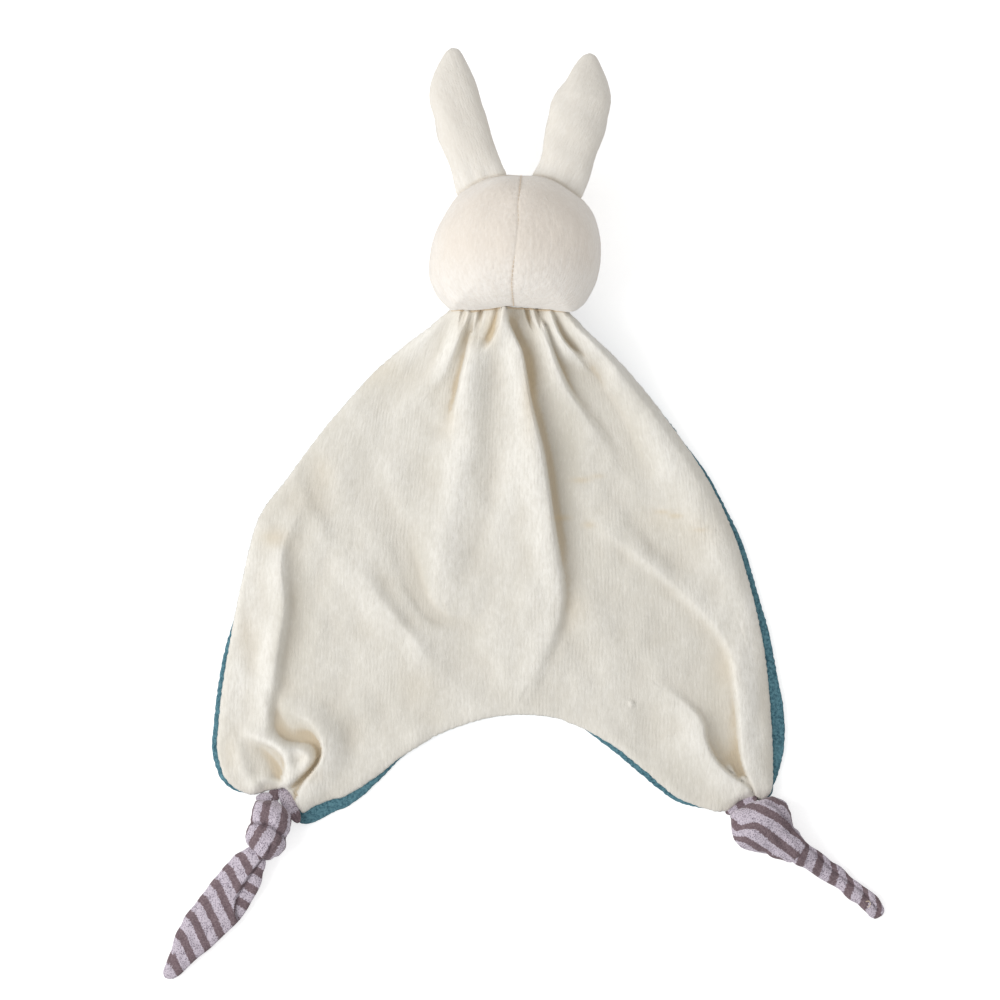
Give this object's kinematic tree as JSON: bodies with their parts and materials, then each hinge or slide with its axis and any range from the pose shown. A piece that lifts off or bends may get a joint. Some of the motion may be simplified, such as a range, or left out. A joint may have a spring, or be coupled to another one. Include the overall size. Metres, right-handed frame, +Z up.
{
  "type": "comfort blanket lovey",
  "caption": "Soft baby comforter with a stuffed rabbit head and ears on a gathered two-sided cloth whose two lower corners end in knotted striped legs.",
  "frame": {"origin": "middle of the footprint, on the surface that the toy lies on", "axes": "+Y from the legs to the ears, +Z up out of the surface, through the back of the head, +X to the right seen from above; the toy lies on its face and on its teal side"},
  "size_m": [0.293, 0.3788, 0.0555],
  "materials": {
    "cream_velour": "short cream velour pile with fine lengthwise wales",
    "head_velour": "smooth warm cream velour",
    "teal_jersey": "matt teal knitted jersey",
    "striped_jersey": "matt jersey in lilac and mauve-brown stripes",
    "thread": "cream sewing thread",
    "stuffing": "loose white fibre"
  },
  "bodies": {
    "blanket": {"blanket_back": "cream_velour", "blanket_front": "teal_jersey", "leg_left_cuff": "striped_jersey", "leg_right_cuff": "striped_jersey"},
    "neck": {"neck_gathers": "cream_velour", "neck_thread": "thread"},
    "head": {"head_face": "head_velour", "head_back_left": "head_velour", "head_back_right": "head_velour", "head_stuffing": "stuffing"},
    "ear_left": {"ear_left_back": "cream_velour", "ear_left_front": "cream_velour", "ear_left_stuffing": "stuffing"},
    "ear_right": {"ear_right_back": "cream_velour", "ear_right_front": "cream_velour", "ear_right_stuffing": "stuffing"},
    "leg_left": {"leg_left_knot": "striped_jersey"},
    "leg_right": {"leg_right_knot": "striped_jersey"},
    "tail_left": {"leg_left_tail": "striped_jersey"},
    "tail_right": {"leg_right_tail": "striped_jersey"}
  },
  "joints": [
    {"name": "head_nod", "type": "hinge", "parent": "blanket", "child": "neck", "pos_m": [-0.00362, 0.07907, 0.0185], "axis": [1, 0, 0], "range_deg": [-45, 45]},
    {"name": "head_turn", "type": "hinge", "parent": "neck", "child": "head", "pos_m": [-0.00362, 0.08227, 0.0185], "axis": [0, 1, 0], "range_deg": [-40, 40]},
    {"name": "ear_left_fold", "type": "hinge", "parent": "head", "child": "ear_left", "pos_m": [-0.01756, 0.13684, 0.0275], "axis": [0.9531, 0.3027, 0], "range_deg": [-45, 45], "stiffness_Nm_per_rad": 0.02},
    {"name": "ear_right_fold", "type": "hinge", "parent": "head", "child": "ear_right", "pos_m": [0.01487, 0.1348, 0.0275], "axis": [0.9026, -0.4305, 0], "range_deg": [-45, 45], "stiffness_Nm_per_rad": 0.02},
    {"name": "leg_left_fold", "type": "hinge", "parent": "blanket", "child": "leg_left", "pos_m": [-0.10002, -0.11719, 0.00845], "axis": [0.9397, -0.342, 0], "range_deg": [-40, 40]},
    {"name": "leg_right_fold", "type": "hinge", "parent": "blanket", "child": "leg_right", "pos_m": [0.09138, -0.12172, 0.00845], "axis": [0.6157, 0.788, 0], "range_deg": [-40, 40]},
    {"name": "tail_left_swing", "type": "hinge", "parent": "leg_left", "child": "tail_left", "pos_m": [-0.10831, -0.13997, 0.00845], "axis": [0, 0, 1], "range_deg": [-35, 35]},
    {"name": "tail_right_swing", "type": "hinge", "parent": "leg_right", "child": "tail_right", "pos_m": [0.11206, -0.13788, 0.00845], "axis": [0, 0, 1], "range_deg": [-35, 35]}
  ]
}
